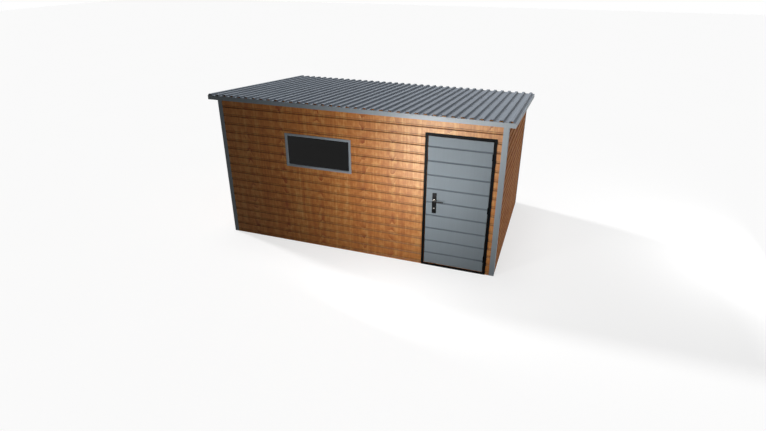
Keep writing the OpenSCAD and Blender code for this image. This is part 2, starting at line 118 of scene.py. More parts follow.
# Door.
DOOR_BAR = 35 * MM
DOOR_STEEL = 1.5 * MM
LINER_GAP = 0.1 * MM
STOP_WIDTH = 20 * MM
SEAL_MIDDLE = 14.5 * MM
SEAL_HALF = 4.5 * MM
SEAL_RISE = 8 * MM
LEAF_PITCH = 189 * MM
LEAF_FIRST_GROOVE = 133 * MM
LEAF_GROOVES = 9
LEAF_GROOVE_HEIGHT = 18 * MM
LEAF_GROOVE_DEPTH = 5 * MM
# How far the painted groove shade fades out onto the leaf's flat beside each groove.
LEAF_SHADE_SPREAD = 5 * MM
PLATE_CORNER = 6 * MM
PLATE_DOME = 2.5 * MM
SHAFT_RADIUS = 8 * MM
GRIP_THICK = 6 * MM
GRIP_HEIGHT = 8.5 * MM
ELBOW = 16 * MM
LEVER_REACH = 128 * MM
LEVER_SINK = 4 * MM
GRIP_INSET = 9 * MM
LEVER_SIDES = 24
TURNED_SIDES = 32
LOCK_CASE_HALF = 11 * MM
RING_BORE = 8.6 * MM
RING_RADIUS = 17 * MM
RING_DOME = 1.6 * MM
RING_RISE = 4 * MM
RING_SINK = 0.5 * MM
LOCK_CHAMFER = 0.8 * MM
PLUG_RADIUS = 5.5 * MM
PLUG_RIM = 6 * MM
PLUG_SINK = 0.4 * MM
KEYWAY_HALF = 1.1 * MM
KEYWAY_REACH = 5 * MM
KEYWAY_RISE = 0.05 * MM

# ---- colours, as sRGB hex ----
WOOD_DARK = "#93501f"
WOOD_MID = "#b56f34"
WOOD_LIGHT = "#d39a59"
WOOD_FIGURE = "#8a3e11"
FILM_SHEEN = "#fff9de"
STEEL_GREY = "#868f95"
ROOF_GREY = "#858d97"
WINDOW_GREY = "#878f96"
# Bluish dark grey painted into the door's grooves as shade.
GROOVE_SHADE_GREY = "#3c4450"
FRAME_BLACK = "#0a0a0a"
HANDLE_BLACK = "#070707"
ZINC_GREY = "#a3a8aa"
# Near-black base of the panes: partly a grey tint, partly painted shade of the room behind.
GLASS_TINT_AND_ROOM_SHADE = "#0e1010"
RUBBER_BLACK = "#131313"
NICKEL = "#8e8b84"
FLOOR_SHOWN = "#959595"
FLOOR_BOUNCE = "#343434"

# The stage: half the floor's width, the floor's own glow, and the warm fill from all round.
FLOOR_HALF = 40.0
FLOOR_GLOW = 0.7
FILL_TINT = (1.0, 0.96, 0.92, 1)
FILL_LEVEL = 0.012

# Places of the shed's main faces.
x_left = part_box("left_wall")[0].x
x_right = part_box("right_wall")[1].x
y_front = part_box("front_wall_left")[0].y
y_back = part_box("back_wall")[1].y
y_roof_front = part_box("front_fascia")[0].y
y_roof_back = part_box("back_flashing")[1].y
x_roof_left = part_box("verge_left")[0].x
x_roof_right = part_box("verge_right")[1].x
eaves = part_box("front_fascia")[1].z
ground_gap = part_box("front_wall_left")[0].z
window_lo, window_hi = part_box("window_frame")
door_lo, door_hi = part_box("door_frame")
leaf_lo, leaf_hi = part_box("door_leaf")
plates_lo, plates_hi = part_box("handle_plates")
lever_lo, lever_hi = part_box("lever_handle")
lock_lo, lock_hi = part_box("lock_cylinder")
shaft_x, _, shaft_z = next(j["pos_m"] for j in frame["joints"] if j["name"] == "lever_turn")


def under_roof(y):
    """Height of the roof plane that the sheet lies on: the eaves height less the fall from the front edge."""
    return eaves - (y - y_roof_front) * math.tan(ROOF_FALL)


def linear(hex_colour):
    """A linear RGBA colour from an sRGB hex value."""
    c = np.array([int(hex_colour[i:i + 2], 16) for i in (1, 3, 5)]) / 255
    c = np.where(c <= 0.04045, c / 12.92, ((c + 0.055) / 1.055) ** 2.4)
    return (*c.tolist(), 1.0)


# ---- meshes ----
def grid_quads(rows, cols, close_rows=False, close_cols=False):
    """Quads of a rows by cols grid, where point (i, j) has index i * cols + j; a closed way joins its ends."""
    i, j = np.meshgrid(np.arange(rows if close_rows else rows - 1),
                       np.arange(cols if close_cols else cols - 1), indexing="ij")
    i, j = i.ravel(), j.ravel()
    i1, j1 = (i + 1) % rows, (j + 1) % cols
    return np.stack([i * cols + j, i1 * cols + j, i1 * cols + j1, i * cols + j1], 1)


def faces_outward(points, quads):
    """The quads, turned round if the sum of (centre - a point inside the shed) . normal over them is negative."""
    corner = points[quads]
    normal = np.cross(corner[:, 2] - corner[:, 0], corner[:, 3] - corner[:, 1])
    reach = ((corner.mean(1) - INSIDE) * normal).sum()
    return quads if reach >= 0 else quads[:, ::-1]


def row_cap(row, cols):
    """A face over the points of one row of a grid that is closed along its columns."""
    return list(range(row * cols, (row + 1) * cols))


def cut_hole(points, quads, lo, hi):
    """The quads less those whose centre lies between lo and hi, each (x, z)."""
    middle = points[quads].mean(1)[:, [0, 2]]
    return quads[~((middle > lo) & (middle < hi)).all(1)]


def put(name, data):
    """A new object in the scene."""
    made = bpy.data.objects.new(name, data)
    bpy.context.scene.collection.objects.link(made)
    return made


def make_piece(name, points, quads, finish, stands_for=(), body="shed", caps=(), smooth=False, turn=True):
    """A mesh object from an (n, 3) array and its quads, in place, with its finish and body, hiding the nodes that
    it stands for. The quads are turned outward unless turn is off; the caps already face so."""
    points = np.asarray(points, float).reshape(-1, 3)
    if turn:
        quads = faces_outward(points, quads)
    faces = quads.tolist() + list(caps)
    mesh = bpy.data.meshes.new(name)
    mesh.from_pydata(points.tolist(), [], faces)
    mesh.polygons.foreach_set("use_smooth", np.full(len(faces), smooth))
    mesh.materials.append(finish)
    piece = put(name, mesh)
    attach(piece, body)
    if stands_for:
        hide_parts(*stands_for)
    return piece


def thicken(piece):
    """Gives a bent sheet its thickness, inwards from the face that shows."""
    solid = piece.modifiers.new("wall", "SOLIDIFY")
    solid.thickness = SHEET
    solid.offset = -1
    solid.use_even_offset = True


def soften(piece, width):
    """Rounds the edges of a piece that turn by more than 30 degrees."""
    bevel = piece.modifiers.new("edges", "BEVEL")
    bevel.width = width
    bevel.segments = 2
    bevel.limit_method = "ANGLE"
    bevel.angle_limit = math.radians(30)
    bevel.use_clamp_overlap = True


def mark_painted_shade(piece, amount):
    """Writes how much painted shade lies at each point, from 0 to 1, as the piece's own attribute."""
    layer = piece.data.attributes.new("fold", "FLOAT", "POINT")
    layer.data.foreach_set("value", np.asarray(amount, float).ravel())


def bent_line(corners, radius, steps=4):
    """A folded sheet's line: each inner corner becomes the quadratic curve between the points that lie
    radius * tan(half the turn) before and after it."""
    p = np.asarray(corners, float)
    before, after = p[1:-1] - p[:-2], p[2:] - p[1:-1]
    before /= np.linalg.norm(before, axis=1)[:, None]
    after /= np.linalg.norm(after, axis=1)[:, None]
    turn = np.arccos(np.clip((before * after).sum(1), -1, 1))
    reach = (radius * np.tan(turn / 2))[:, None]
    corner = p[1:-1]
    start, end = corner - before * reach, corner + after * reach
    s = np.linspace(0, 1, steps)[None, :, None]
    arcs = (1 - s) ** 2 * start[:, None] + 2 * s * (1 - s) * corner[:, None] + s ** 2 * end[:, None]
    return np.concatenate([p[:1], arcs.reshape(-1, 2), p[-1:]])


# ---- node materials ----
def add(tree, kind, inputs=None, **settings):
    """Adds a shader node with its settings and links. An input takes a value, another node's output, or a whole
    node, which stands for its first output."""
    made = tree.nodes.new("ShaderNode" + kind)
    for key, value in settings.items():
        setattr(made, key, value)
    for key, value in (inputs or {}).items():
        if isinstance(value, bpy.types.Node):
            value = value.outputs[0]
        if isinstance(value, bpy.types.NodeSocket):
            tree.links.new(value, made.inputs[key])
        else:
            made.inputs[key].default_value = value
    return made


def new_material(name):
    """An empty node material, its tree and its object coordinates."""
    material = bpy.data.materials.new(name)
    material.use_nodes = True
    tree = material.node_tree
    tree.nodes.clear()
    return material, tree, add(tree, "TexCoord").outputs["Object"]


def wood_print(name, shade_share, gloss, along_y=False):
    """Polyester film with a printed golden oak grain on steel: soft upright bands and fibres, columns of arched
    figure, painted shade in the folds, a satin sheen and a faint emboss. The second argument is the share of light
    that the painted shade takes where it lies thickest, and along_y turns the print for a wall along Y."""
    material, tree, place = new_material(name)
    turned = add(tree, "Mapping", {"Vector": place, "Rotation": (0, 0, math.pi / 2 if along_y else 0)})
    parts = add(tree, "SeparateXYZ", {"Vector": turned})
    u, v = parts.outputs["X"], parts.outputs["Z"]

    def grain(width, length, detail):
        """Noise with features about width across and length up, as a share from -0.5 to 0.5."""
        across = add(tree, "Math", {0: u, 1: width}, operation="DIVIDE")
        up = add(tree, "Math", {0: v, 1: length}, operation="DIVIDE")
        spread = add(tree, "CombineXYZ", {"X": across, "Y": up})
        noise = add(tree, "TexNoise", {"Vector": spread, "Scale": 1.0, "Detail": detail})
        return add(tree, "Math", {0: noise, 1: 0.5}, operation="SUBTRACT")

    def weighed(pairs, start):
        """start plus the sum of each value times its weight."""
        total = start
        for value, weight in pairs:
            total = add(tree, "Math", {0: value, 1: weight, 2: total}, operation="MULTIPLY_ADD")
        return total

    # Printed fibres are under 1 mm wide; they are drawn at 4 mm so that they show.
    fibres = grain(4 * MM, 140 * MM, 2)
    streaks = grain(24 * MM, 900 * MM, 3)
    bands = grain(110 * MM, 2.8, 2)
    clouds = grain(60 * MM, 75 * MM, 3)
    shade = weighed([(bands, 0.7), (streaks, 0.55), (fibres, 0.35), (clouds, 0.7)], 0.5)
    tone = add(tree, "ValToRGB", {"Fac": shade})
    ramp = tone.color_ramp
    ramp.elements[0].position, ramp.elements[0].color = 0.15, linear(WOOD_DARK)
    ramp.elements[1].position, ramp.elements[1].color = 0.85, linear(WOOD_LIGHT)
    ramp.elements.new(0.5).color = linear(WOOD_MID)

    # Columns of figure, about one plank width apart; a chance of its own shifts each of them up or down.
    sway = weighed([(grain(0.4, 0.7, 2), 0.05), (grain(50 * MM, 70 * MM, 2), 0.035)], u)
    planks = add(tree, "Math", {0: sway, 1: PLANK}, operation="DIVIDE")
    column = add(tree, "TexVoronoi", {"W": planks, "Scale": 1.0, "Randomness": 0.5}, voronoi_dimensions="1D")
    chance = add(tree, "SeparateColor", {"Color": column.outputs["Color"]})
    aside = add(tree, "Math", {0: column.outputs["Distance"], 1: PLANK}, operation="MULTIPLY")

    # Each is a row of nested arches: the height plus a slant times the distance aside, counted in steps. The
    # slant turns over slowly, so that the arches point up in some places and down in others.
    slant = add(tree, "MapRange", {"Value": grain(0.5, 0.9, 1), "From Min": -0.07, "From Max": 0.07,
                                   "To Min": -ARCH_STEEPNESS, "To Max": ARCH_STEEPNESS})
    squared = add(tree, "Math", {0: aside, 1: aside, 2: ARCH_TIP ** 2}, operation="MULTIPLY_ADD")
    blunt = add(tree, "Math", {0: squared}, operation="SQRT")
    height = add(tree, "Math", {0: blunt, 1: slant, 2: v}, operation="MULTIPLY_ADD")
    steps = add(tree, "Math", {0: height, 1: ARCH_STEP}, operation="DIVIDE")
    wavy = weighed([(grain(0.3, 0.35, 2), 2.2), (grain(45 * MM, 60 * MM, 2), 0.45),
                    (chance.outputs["Red"], 5.0)], steps)
    climb = add(tree, "Math", {0: wavy}, operation="FRACT")

    # A step is dark at its foot and fades upwards to a pale edge, and the figure fades away to both sides.
    foot = add(tree, "MapRange", {"Value": climb, "From Max": 0.1}, interpolation_type="SMOOTHSTEP")
    left = add(tree, "Math", {0: 1.0, 1: climb}, operation="SUBTRACT")
    fade = add(tree, "Math", {0: left, 1: 2.6}, operation="POWER")
    arch = add(tree, "Math", {0: foot, 1: fade}, operation="MULTIPLY")
    half_widths = add(tree, "Math", {0: aside, 1: FIGURE_HALF}, operation="DIVIDE")
    bell = add(tree, "Math", {0: half_widths, 1: 2.0}, operation="POWER")
    bell = add(tree, "Math", {0: bell, 1: -1.0}, operation="MULTIPLY")
    reach = add(tree, "Math", {0: bell}, operation="EXPONENT")
    patches = weighed([(grain(0.25, 0.3, 1), 2.0)], 1.15)
    strength = add(tree, "Math", {0: reach, 1: patches}, operation="MULTIPLY")
    stain = add(tree, "Math", {0: arch, 1: strength}, operation="MULTIPLY", use_clamp=True)
    rim = add(tree, "Math", {0: climb, 1: 5.0}, operation="POWER")
    rim_strength = add(tree, "Math", {0: strength, 1: 0.35}, operation="MULTIPLY")
    pale = add(tree, "Math", {0: rim, 1: rim_strength}, operation="MULTIPLY", use_clamp=True)
    ground = add(tree, "Mix", {"Factor": pale, 6: tone, 7: linear(WOOD_LIGHT)}, data_type="RGBA")
    printed = add(tree, "Mix", {"Factor": stain, 6: ground.outputs[2], 7: linear(WOOD_FIGURE)}, data_type="RGBA")

    # Painted shade: the print is darkened where the fold attribute marks a groove.
    fold = add(tree, "Attribute", attribute_name="fold").outputs["Fac"]
    unshaded_share = weighed([(fold, -shade_share)], 1.0)
    colour = add(tree, "VectorMath", {0: printed.outputs[2], "Scale": unshaded_share}, operation="SCALE")
    sheen = weighed([(fibres, 0.10), (fold, 0.2)], 0.45)
    emboss = add(tree, "Bump", {"Height": weighed([(streaks, 0.6)], fibres), "Strength": 0.25,
                                "Distance": 0.25 * MM})
    film = add(tree, "BsdfPrincipled", {
        "Base Color": colour, "Roughness": sheen, "Normal": emboss, "Specular IOR Level": gloss,
        "Specular Tint": linear(FILM_SHEEN), "IOR": 1.5})
    add(tree, "OutputMaterial", {"Surface": film})
    return material


def smooth_coat(name, colour, roughness, gloss=0.3, peel=0.06, drift=0.05, edge=0.0, shade_share=0.0):
    """Baked polyester or powder on steel, lacquer on cast zinc or foil on PVC: an even colour that drifts a little
    over 0.4 m, orange peel in the sheen, and faint upright rain marks 26 mm wide and 0.7 m long. edge is how much
    lighter its rubbed edges are, and the last argument is how strongly painted shade darkens its marked grooves."""
    material, tree, place = new_material(name)
    broad = add(tree, "TexNoise", {"Vector": place, "Scale": 1 / (435 * MM), "Detail": 3.0})
    mark_scale = (1 / (26.3 * MM), 1 / (26.3 * MM), 1 / (714 * MM))
    stretch = add(tree, "Mapping", {"Vector": place, "Scale": mark_scale})
    marks = add(tree, "TexNoise", {"Vector": stretch, "Scale": 1.0, "Detail": 3.0})
    # Orange peel is about 2 mm wide; it is drawn at 4 mm so that it shows.
    peel_noise = add(tree, "TexNoise", {"Vector": place, "Scale": 1 / (4 * MM), "Detail": 2.0})
    mixed = add(tree, "Math", {0: broad, 1: marks}, operation="ADD")
    level = add(tree, "MapRange", {"Value": mixed, "From Min": 0.7, "From Max": 1.3, "To Min": 1 - drift,
                                   "To Max": 1 + drift})
    base = linear(colour)[:3]
    shown = add(tree, "VectorMath", {0: base, "Scale": level}, operation="SCALE").outputs["Vector"]
    # Painted shade: the marked grooves are mixed towards a bluish dark grey.
    if shade_share:
        fold = add(tree, "Attribute", attribute_name="fold").outputs["Fac"]
        share = add(tree, "Math", {0: fold, 1: shade_share}, operation="MULTIPLY")
        with_shade = add(tree, "Mix", {"Factor": share, 6: shown, 7: linear(GROOVE_SHADE_GREY)}, data_type="RGBA")
        shown = with_shade.outputs[2]
    if edge:
        corner = add(tree, "Bevel", {"Radius": 1.5 * MM}, samples=4)
        straight = add(tree, "NewGeometry").outputs["Normal"]
        agree = add(tree, "VectorMath", {0: corner, 1: straight}, operation="DOT_PRODUCT")
        rub = add(tree, "MapRange", {"Value": agree.outputs["Value"], "From Min": 0.99, "From Max": 0.85,
                                     "To Min": 0.0, "To Max": edge})
        bare = (*(0.35 + 0.5 * c for c in base), 1.0)
        shown = add(tree, "Mix", {"Factor": rub, 6: shown, 7: bare}, data_type="RGBA").outputs[2]
    sheen = add(tree, "MapRange", {"Value": marks, "To Min": roughness - 0.06, "To Max": roughness + 0.06})
    skin = add(tree, "Bump", {"Height": peel_noise, "Strength": peel, "Distance": 0.2 * MM})
    coat = add(tree, "BsdfPrincipled", {
        "Base Color": shown, "Roughness": sheen, "Normal": skin, "Specular IOR Level": gloss, "IOR": 1.5})
    add(tree, "OutputMaterial", {"Surface": coat})
    return material


def plain_finish(tree, colour, level_by, levels, sheen_by, sheens, relief, strength, depth, constants):
    """The end of a plain material. level_by scales the colour between two levels, sheen_by sets the roughness
    between two sheens, relief stands up from the skin, and constants are the shader's other values."""
    level = add(tree, "MapRange", {"Value": level_by, "To Min": levels[0], "To Max": levels[1]})
    tint = add(tree, "VectorMath", {0: linear(colour)[:3], "Scale": level}, operation="SCALE")
    sheen = add(tree, "MapRange", {"Value": sheen_by, "To Min": sheens[0], "To Max": sheens[1]})
    skin = add(tree, "Bump", {"Height": relief, "Strength": strength, "Distance": depth})
    surface = add(tree, "BsdfPrincipled", {"Base Color": tint, "Roughness": sheen, "Normal": skin, **constants})
    add(tree, "OutputMaterial", {"Surface": surface})


def galvanised_steel(name):
    """Hot-dip galvanised tube: a bright metal with frost-like spangles about 9 mm wide, and a dull bloom in clouds
    about 70 mm wide."""
    material, tree, place = new_material(name)
    spangle = add(tree, "TexVoronoi", {"Vector": place, "Scale": 1 / (9 * MM)})
    grey = add(tree, "SeparateColor", {"Color": spangle.outputs["Color"]})
    bloom = add(tree, "TexNoise", {"Vector": place, "Scale": 1 / (71.4 * MM), "Detail": 4.0})
    plain_finish(tree, ZINC_GREY, grey, (0.8, 1.1), bloom, (0.38, 0.62), spangle, 0.15, 0.2 * MM,
                 {"Metallic": 0.85})
    return material


def tinted_glass(name):
    """Grey float glass in a sealed unit: dark, nearly mirror smooth, with a trace of dust in the sheen, in clouds
    about 0.1 m wide. Only 0.3 of it lets light through; the rest is a near-black base, partly the glass's grey
    tint and partly painted shade of the dark room behind."""
    material, tree, place = new_material(name)
    dust = add(tree, "TexNoise", {"Vector": place, "Scale": 1 / (111 * MM), "Detail": 5.0})
    plain_finish(tree, GLASS_TINT_AND_ROOM_SHADE, dust, (0.9, 1.15), dust, (0.02, 0.09), dust, 0.03, 0.5 * MM,
                 {"IOR": 1.5, "Transmission Weight": 0.3, "Specular IOR Level": 0.05})
    return material


def nickel_plate(name):
    """Nickel plate on turned brass: a bright sheen with fine level brush lines, 14 mm long."""
    material, tree, place = new_material(name)
    # Brush lines are about 0.2 mm apart; they are drawn at 0.6 mm so that they show.
    line_scale = (1 / (14.3 * MM), 1 / (14.3 * MM), 1 / (0.595 * MM))
    stretch = add(tree, "Mapping", {"Vector": place, "Scale": line_scale})
    lines = add(tree, "TexNoise", {"Vector": stretch, "Scale": 1.0, "Detail": 3.0})
    plain_finish(tree, NICKEL, lines, (0.85, 1.1), lines, (0.20, 0.38), lines, 0.1, 0.1 * MM, {"Metallic": 1.0})
    return material


def sealing_rubber(name):
    """Extruded EPDM rubber: near black and matt, with a powdery bloom in flecks about 8 mm wide."""
    material, tree, place = new_material(name)
    bloom = add(tree, "TexNoise", {"Vector": place, "Scale": 1 / (8.33 * MM), "Detail": 4.0})
    plain_finish(tree, RUBBER_BLACK, bloom, (0.8, 1.3), bloom, (0.6, 0.8), bloom, 0.2, 0.2 * MM, {"IOR": 1.5})
    return material


# Both wall prints carry painted shade in their grooves; it is lighter on the walls along Y.
print_front = wood_print("golden_oak_film_on_steel_x", shade_share=0.62, gloss=0.3)
print_side = wood_print("golden_oak_film_on_steel_y", shade_share=0.36, gloss=0.006, along_y=True)
grey_coat = smooth_coat("grey_polyester_coated_steel", STEEL_GREY, roughness=0.46)
roof_coat = smooth_coat("grey_polyester_coated_roof_steel", ROOF_GREY, roughness=0.5, gloss=0.04)
# The door skin carries painted shade in and beside its grooves.
leaf_coat = smooth_coat("grey_coated_door_skin", STEEL_GREY, roughness=0.5, gloss=0.028, drift=0.03, shade_share=0.55)
window_foil = smooth_coat("grey_foiled_pvc", WINDOW_GREY, roughness=0.45, peel=0.1, drift=0.03)
black_coat = smooth_coat("black_powder_coated_steel", FRAME_BLACK, roughness=0.5, gloss=0.02, peel=0.15,
                         drift=0.12, edge=0.03)
black_handle = smooth_coat("black_lacquered_zinc_casting", HANDLE_BLACK, roughness=0.24, gloss=0.06, peel=0.08,
                           drift=0.1, edge=0.08)
zinc_tube = galvanised_steel("hot_dip_galvanised_tube")
glass = tinted_glass("grey_float_glass")
nickel = nickel_plate("nickel_plated_brass")
rubber = sealing_rubber("epdm_rubber")


# ---- wall panels ----
GROOVES = math.ceil((eaves - FIRST_GROOVE) / BOARD_PITCH)


def board_line():
    """The wall sheet's line (depth, height): grooves at the board pitch, each with a lower bevel, a flat and an
    upper bevel, all with rounded folds."""
    groove = np.array([[0, 0], [GROOVE_DEPTH, LOWER_BEVEL], [GROOVE_DEPTH, LOWER_BEVEL + GROOVE_FLAT],
                       [0, LOWER_BEVEL + GROOVE_FLAT + UPPER_BEVEL]])
    starts = FIRST_GROOVE + BOARD_PITCH * np.arange(GROOVES)
    corners = (groove[None] + np.stack([0 * starts, starts], 1)[:, None]).reshape(-1, 2)
    top = starts[-1] + BOARD_PITCH
    return bent_line(np.concatenate([[[0, ground_gap]], corners, [[0, top]]]), BEND)


BOARDS = board_line()


def board_heights(low, high, extra=()):
    """The heights at which the sheet's line bends between two levels, with those levels and extra ones."""
    rows = FIRST_GROOVE + BOARD_PITCH * np.arange(GROOVES)[:, None] + SHADE_ROWS
    inside = np.concatenate([BOARDS[:, 1], rows.ravel()])
    inside = inside[(inside > low) & (inside < high)]
    return np.unique(np.concatenate([[low], inside, np.asarray(extra, float), [high]]))


def painted_shade_by_height(heights):
    """How much painted shade lies at each height, by its place above the nearest groove's foot."""
    above = (heights - FIRST_GROOVE - SHADE_PLACES[0]) % BOARD_PITCH + SHADE_PLACES[0]
    return np.interp(above, SHADE_PLACES, SHADE_SHARES)


def wall_panel(name, node, along, face, way, heights, starts, ends, shares=(0, 1), hole=None):
    """A wall sheet: point (share, z) lies at start + share * (end - start) along the wall, and the board line's
    depth at z behind the wall's face. Quads inside the hole, between two (x, z), are left out."""
    z = heights[None]
    run = starts[None] + np.asarray(shares)[:, None] * (ends - starts)[None]
    inward = face + way * np.interp(heights, BOARDS[:, 1], BOARDS[:, 0])[None] + 0 * run
    across = [run, inward] if along == "x" else [inward, run]
    points = np.stack([*across, z + 0 * run], -1).reshape(-1, 3)
    quads = grid_quads(run.shape[0], run.shape[1])
    if hole:
        quads = cut_hole(points, quads, *hole)
    finish = print_front if along == "x" else print_side
    piece = make_piece(name, points, quads, finish, [node])
    # Painted shade in and under each groove, by height.
    mark_painted_shade(piece, painted_shade_by_height(z) + 0 * run)
    thicken(piece)


def straight_panel(name, node, face, way, top, bottom=None, stops=(), levels=(), hole=None):
    """A front or back sheet between the ends of its node, with grid lines at stops and levels."""
    lo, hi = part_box(node)
    heights = board_heights(lo.z if bottom is None else bottom, top, levels)
    x = np.array(sorted([lo.x, hi.x, *stops]))
    shares = (x - lo.x) / (hi.x - lo.x)
    full = np.ones_like(heights)
    wall_panel(name, node, "x", face, way, heights, lo.x * full, hi.x * full, shares, hole)


def side_panel(name, node, face, way):
    """A side sheet: every line of it runs from the front to where the roof plane cuts that height."""
    lo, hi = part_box(node)
    heights = board_heights(lo.z, under_roof(lo.y))
    ends = np.minimum(hi.y, y_roof_front + (eaves - heights) / math.tan(ROOF_FALL))
    wall_panel(name, node, "y", face, way, heights, np.full_like(heights, lo.y), ends)


front_top = under_roof(y_front + SHEET)
back_top = under_roof(y_back)
straight_panel("front_panel_left", "front_wall_left", y_front, 1, front_top,
               stops=[window_lo.x, window_hi.x], levels=[window_lo.z, window_hi.z],
               hole=((window_lo.x, window_lo.z), (window_hi.x, window_hi.z)))
straight_panel("front_panel_over_door", "front_wall_over_door", y_front, 1, front_top, bottom=door_hi.z)
straight_panel("front_panel_right", "front_wall_right", y_front, 1, front_top)
straight_panel("back_panel", "back_wall", y_back, -1, back_top)
side_panel("left_panel", "left_wall", x_left, 1)
side_panel("right_panel", "right_wall", x_right, -1)


# ---- flashings ----
def corner_trim(name, x_face, way_x, y_face, way_y):
    """A corner flashing: an L line with a rounded fold, carried from the ground gap up to the roof plane."""
    x0, y0 = x_face - way_x * SHEET, y_face - way_y * SHEET
    line = bent_line([[x0 + way_x * CORNER_LEG, y0], [x0, y0], [x0, y0 + way_y * CORNER_LEG]], CORNER_BEND, 6)
    foot = np.column_stack([line, np.full(len(line), ground_gap)])
    head = np.column_stack([line, under_roof(line[:, 1])])
    node = name.replace("flashing", "trim")
    piece = make_piece(name, np.stack([foot, head], 1), grid_quads(len(line), 2), grey_coat, [node])
    thicken(piece)


SIDES = [("left", x_left, 1), ("right", x_right, -1)]
ENDS = [("front", y_front, 1), ("back", y_back, -1)]
for end, y_face, way_y in ENDS:
    for side, x_face, way_x in SIDES:
        corner_trim(f"corner_flashing_{end}_{side}", x_face, way_x, y_face, way_y)


def flashing_line(inner_return):
    """A flashing's line (inset, drop below the roof plane): a hem at the foot, the face, and a return."""
    return bent_line([[HEM_GAP, FLASHING_DROP - HEM], [HEM_GAP, FLASHING_DROP], [0, FLASHING_DROP], [0, 0],
                      [inner_return, 0]], FOLD, 5)


def eaves_flashing(name, node, y_face, way):
    """The flashing line carried along X; its foot and face hang plumb from the roof plane at the edge."""
    lo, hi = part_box(node)
    line = flashing_line(FASCIA_RETURN)
    y = y_face + way * line[:, 0]
    z = np.where(line[:, 1] > 0, under_roof(y_face) - line[:, 1], under_roof(y))
    points = np.stack([np.column_stack([np.full(len(line), x), y, z]) for x in (lo.x, hi.x)], 1)
    thicken(make_piece(name, points, grid_quads(len(line), 2), grey_coat, [node]))


def verge_flashing(name, node, x_face, way):
    """The flashing line carried down the roof's slope at one side."""
    lo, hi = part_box(node)
    line = flashing_line(VERGE_RETURN)
    x = x_face + way * line[:, 0]
    points = np.stack([np.column_stack([x, np.full(len(line), y), under_roof(y) - line[:, 1]])
                       for y in (lo.y, hi.y)], 1)
    thicken(make_piece(name, points, grid_quads(len(line), 2), grey_coat, [node]))


eaves_flashing("front_fascia_flashing", "front_fascia", y_roof_front, 1)
eaves_flashing("back_eaves_flashing", "back_flashing", y_roof_back, -1)
verge_flashing("verge_flashing_left", "verge_left", x_roof_left, 1)
verge_flashing("verge_flashing_right", "verge_right", x_roof_right, -1)


# ---- roof sheet ----
def roof_point(x, run, height):
    """A point on the roof: run down the slope from the front edge, height square to the sheet's seat."""
    y = y_roof_front + run * math.cos(ROOF_FALL) + height * math.sin(ROOF_FALL)
    z = eaves - run * math.sin(ROOF_FALL) + height * math.cos(ROOF_FALL)
    return np.stack(np.broadcast_arrays(x, y, z), -1)


def roof_piece():
    """The ribbed sheet: trapezoid ribs at their pitch across the roof, carried down the slope."""
    width = x_roof_right - x_roof_left
    count = int((width - FIRST_RIB - RIB_FOOT / 2) / RIB_PITCH) + 1
    rib = np.array([[-RIB_FOOT / 2, 0], [-RIB_TOP / 2, RIB_HEIGHT], [RIB_TOP / 2, RIB_HEIGHT], [RIB_FOOT / 2, 0]])
    middles = x_roof_left + FIRST_RIB + RIB_PITCH * np.arange(count)
    corners = (rib[None] + np.stack([middles, 0 * middles], 1)[:, None]).reshape(-1, 2)
    line = bent_line(np.concatenate([[[x_roof_left, 0]], corners, [[x_roof_right, 0]]]), RIB_BEND)
    lift = ROOF_SEAT + SHEET
    run = ((y_roof_back - y_roof_front) - (lift + RIB_HEIGHT) * math.sin(ROOF_FALL)) / math.cos(ROOF_FALL)
    points = roof_point(line[:, :1], np.array([[0, run]]), line[:, 1:] + lift)
    piece = make_piece("roof_ribbed_sheet", points, grid_quads(len(line), 2), roof_coat, ["roof_sheet"])
    thicken(piece)


roof_piece()


# ---- fasteners ----
def studs(name, centres, ahead, aside, upright, profile, finish, sides=12, flats=False):
    """Many small turned heads in one mesh: each point (radius, height) of the profile goes round every centre,
    radius * (aside cos + upright sin) + ahead * height. flats makes the outline a hexagon."""
    radius, height = profile.T
    angle = np.linspace(0, 2 * math.pi, sides, endpoint=False)
    if flats:
        radius = radius[:, None] * math.cos(math.pi / 6) / np.cos(angle % (math.pi / 3) - math.pi / 6)
    else:
        radius = radius[:, None] + 0 * angle
    ring_points = ((radius * np.cos(angle))[..., None] * np.asarray(aside)
                   + (radius * np.sin(angle))[..., None] * np.asarray(upright)
                   + height[:, None, None] * np.asarray(ahead)).reshape(-1, 3)
    points = np.asarray(centres)[:, None] + ring_points[None]
    one, top = grid_quads(len(profile), sides, False, True), np.array(row_cap(len(profile) - 1, sides))
    if np.dot(np.cross(aside, upright), ahead) < 0:
        one, top = one[:, ::-1], top[::-1]
    first = np.arange(len(centres)) * len(ring_points)
    quads = (first[:, None, None] + one[None]).reshape(-1, 4)
    make_piece(name, points, quads, finish, caps=(first[:, None] + top[None]).tolist(), turn=False)


def roof_screws():
    """A screw with a sealing washer in every second pan of the roof sheet, over the middle of each purlin."""
    lo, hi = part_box("roof_purlins")
    rows = np.linspace(lo.y + PURLIN_HALF, hi.y - PURLIN_HALF, PURLINS)
    pans = np.arange(x_roof_left + FIRST_RIB + RIB_PITCH / 2, x_roof_right - RIB_PITCH, 2 * RIB_PITCH)
    x, y = [grid.ravel() for grid in np.meshgrid(pans, rows)]
    down = (0.0, math.cos(ROOF_FALL), -math.sin(ROOF_FALL))
    up = (0.0, math.sin(ROOF_FALL), math.cos(ROOF_FALL))
    centres = roof_point(x, (y - y_roof_front) / math.cos(ROOF_FALL), ROOF_SEAT + SHEET)
    across = (1.0, 0.0, 0.0)
    studs("roof_screw_washers", centres, up, across, down, WASHER, rubber)
    studs("roof_screw_heads", centres, up, across, down, SCREW_HEAD, roof_coat, flats=True)


